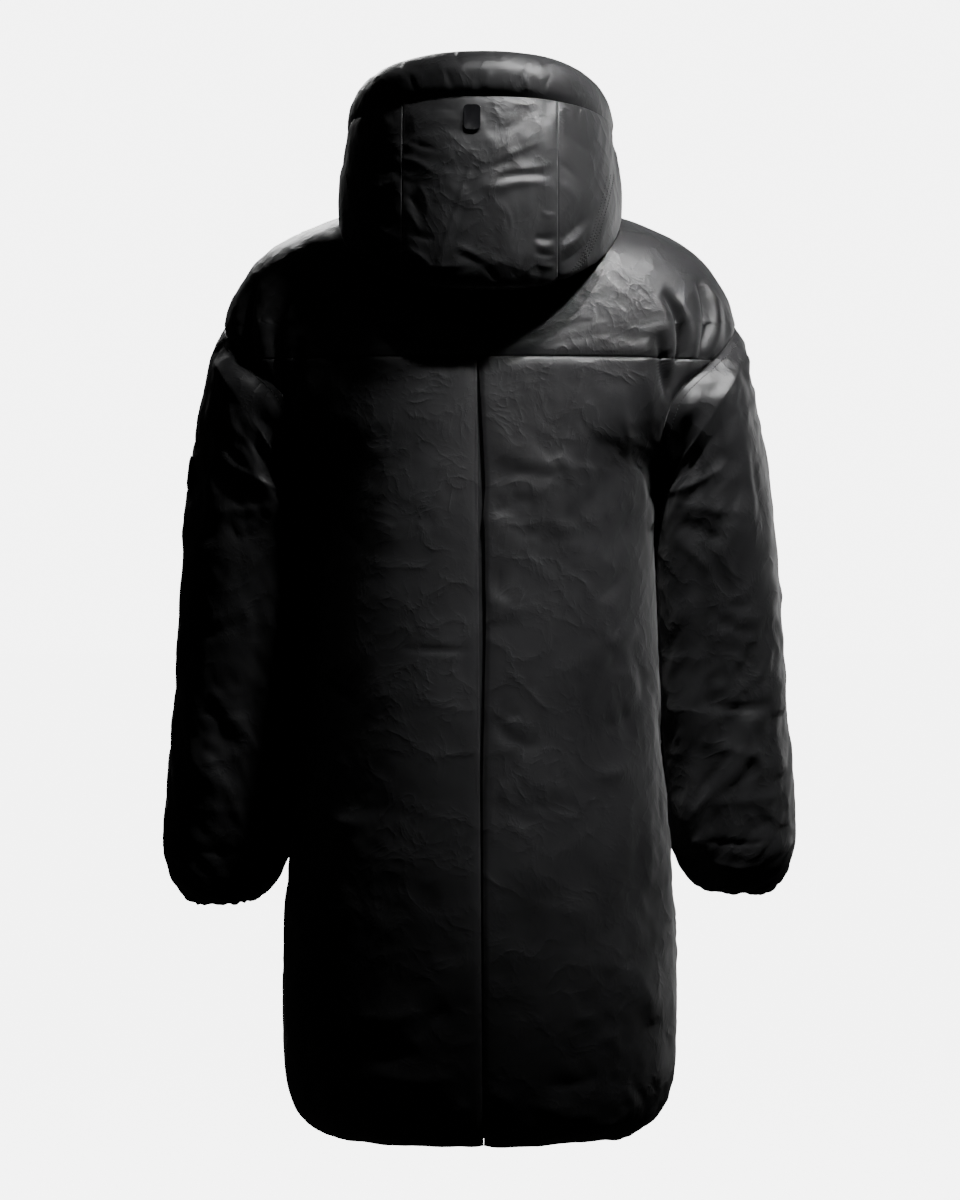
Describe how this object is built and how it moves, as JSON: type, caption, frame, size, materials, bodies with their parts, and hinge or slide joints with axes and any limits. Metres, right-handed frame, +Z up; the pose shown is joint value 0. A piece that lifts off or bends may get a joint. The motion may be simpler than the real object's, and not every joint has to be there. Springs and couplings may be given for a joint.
{
  "type": "parka",
  "caption": "Knee-length padded parka in black shell fabric, filled out as worn with its hood down, with a back yoke, a centre-back pleat and a closed front zip.",
  "frame": {"origin": "middle of the neck at the foot of the hood, where the wearer's shoulders carry the coat", "axes": "+Z up, -Y the front with the zip, +X the wearer's left"},
  "size_m": [0.666, 0.361, 1.1041],
  "materials": {
    "shell_fabric": "soft satin",
    "patch_fabric": "matte",
    "tab_gloss": "gloss",
    "zip_tape": "matte woven",
    "zip_metal": "satin black"
  },
  "bodies": {
    "garment": {"back_yoke": "shell_fabric", "back_panel_left": "shell_fabric", "back_panel_right": "shell_fabric", "back_pleat_underlay": "shell_fabric", "front_panel_left": "shell_fabric", "front_panel_right": "shell_fabric", "sleeve_left": "shell_fabric", "sleeve_right": "shell_fabric", "hood_centre": "shell_fabric", "hood_side_left": "shell_fabric", "hood_side_right": "shell_fabric", "hood_brim": "shell_fabric", "sleeve_patch": "patch_fabric", "hood_tab": "tab_gloss", "zip_tape_left": "zip_tape", "zip_tape_right": "zip_tape", "zip_slider": "zip_metal"},
    "pull": {"zip_pull": "zip_metal"}
  },
  "joints": [
    {"name": "zip_pull_swing", "type": "hinge", "parent": "garment", "child": "pull", "pos_m": [0, -0.1238, 0.058], "axis": [-1, 0, 0], "range_deg": [0, 150]}
  ]
}
